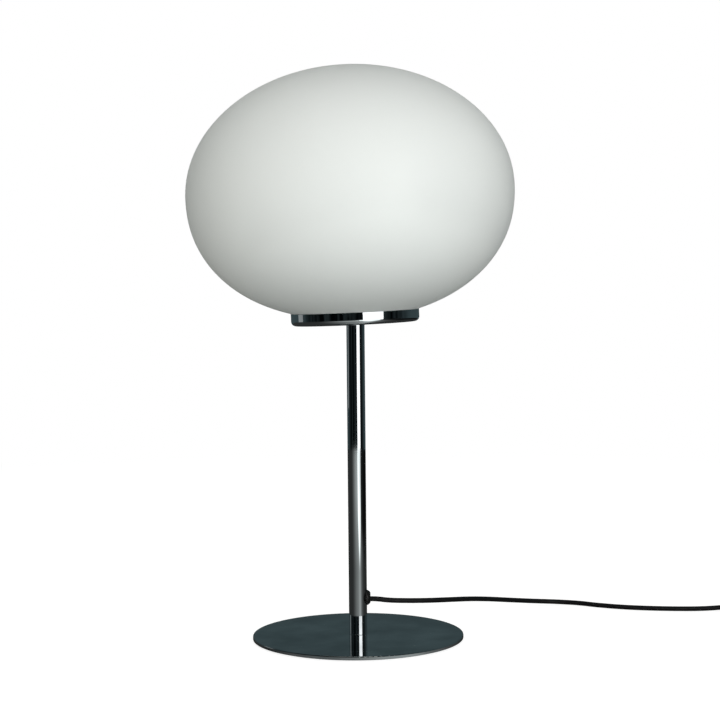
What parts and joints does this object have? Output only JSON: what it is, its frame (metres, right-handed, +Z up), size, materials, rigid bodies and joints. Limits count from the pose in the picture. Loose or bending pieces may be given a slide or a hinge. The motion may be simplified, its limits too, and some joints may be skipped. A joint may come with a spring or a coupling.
{
  "type": "table lamp",
  "caption": "Table lamp with an opal glass globe in a chrome cup, on a slim chrome stem and a thin round base, with a cord, cord switch and plug.",
  "frame": {"origin": "centre of the pad's underside, on the stem's axis", "axes": "+Z up along the stem, +X towards the side where the cord leaves, +Y away from the viewer"},
  "size_m": [0.633, 0.2832, 0.4904],
  "materials": {
    "opal_glass": "satin opal",
    "chrome": "polished",
    "pad": "felt-like",
    "steel": "zinc plated",
    "turned_steel": "turned",
    "spring_steel": "bright",
    "black_plastic": "moulded",
    "holder_plastic": "moulded",
    "seat_rubber": "translucent silicone",
    "brass": "bare",
    "block": "ceramic white",
    "cord": "matt sheath",
    "tie": "hook and loop strip",
    "wire_brown": "plain",
    "wire_blue": "plain",
    "bulb_dome": "diffusing",
    "bulb_housing": "moulded",
    "bulb_cap": "bare",
    "bulb_insulator": "glassy"
  },
  "bodies": {
    "lamp": {"base_pad": "pad", "base_plate": "chrome", "base_screw": "steel", "stem_foot_plug": "turned_steel", "stem_tube": "chrome", "stem_head_plug": "turned_steel", "threaded_nipple": "steel", "cord_grommet": "black_plastic", "stem_cord": "cord", "gallery_cup": "chrome", "seat_ring": "seat_rubber", "spring_spider": "spring_steel", "lock_washer": "steel", "nipple_nut": "steel", "holder_cap": "holder_plastic", "holder_grub_screw": "steel", "holder_skirt": "holder_plastic", "holder_contact_block": "block", "holder_screw_shell": "brass", "holder_centre_contact": "brass", "holder_terminal_screws": "brass", "conductor_live": "wire_brown", "conductor_neutral": "wire_blue", "cord_run": "cord", "switch_lower_shell": "black_plastic", "switch_upper_shell": "black_plastic", "switch_pivot_pin": "steel", "switch_case_screws": "steel", "switch_contacts": "brass", "cord_switch_ends": "cord", "cord_link": "cord", "cord_coil": "cord", "cord_tie": "tie", "cord_tail": "cord", "cord_plug_end": "cord", "plug_bend_relief": "black_plastic", "plug_body": "black_plastic", "plug_pins": "brass", "plug_pin_sleeves": "black_plastic"},
    "globe": {"glass_globe": "opal_glass"},
    "bulb_contact": {"bulb_centre_contact": "brass"},
    "bulb": {"bulb_dome": "bulb_dome", "bulb_housing": "bulb_housing", "bulb_screw_cap": "bulb_cap", "bulb_insulator": "bulb_insulator"},
    "rocker": {"switch_rocker": "black_plastic"}
  },
  "joints": [
    {"name": "globe_lift", "type": "slide", "parent": "lamp", "child": "globe", "axis": [-0.0366, 0, 0.9993], "range_m": [0, 0.155]},
    {"name": "bulb_out", "type": "slide", "parent": "lamp", "child": "bulb_contact", "axis": [-0.0366, 0, 0.9993], "range_m": [0, 0.01805]},
    {"name": "bulb_turn", "type": "hinge", "parent": "bulb_contact", "child": "bulb", "pos_m": [-0.00366, 0, 0.36923], "axis": [-0.0366, 0, 0.9993], "range_deg": [0, 1790]},
    {"name": "switch_rock", "type": "hinge", "parent": "lamp", "child": "rocker", "pos_m": [0.413, 0.105, 0.0105], "axis": [0, 1, 0], "range_deg": [0, 20]}
  ],
  "couplings": [
    {"joint": "bulb_out", "follows": "bulb_turn", "m_per_rad": 0.00057614}
  ]
}
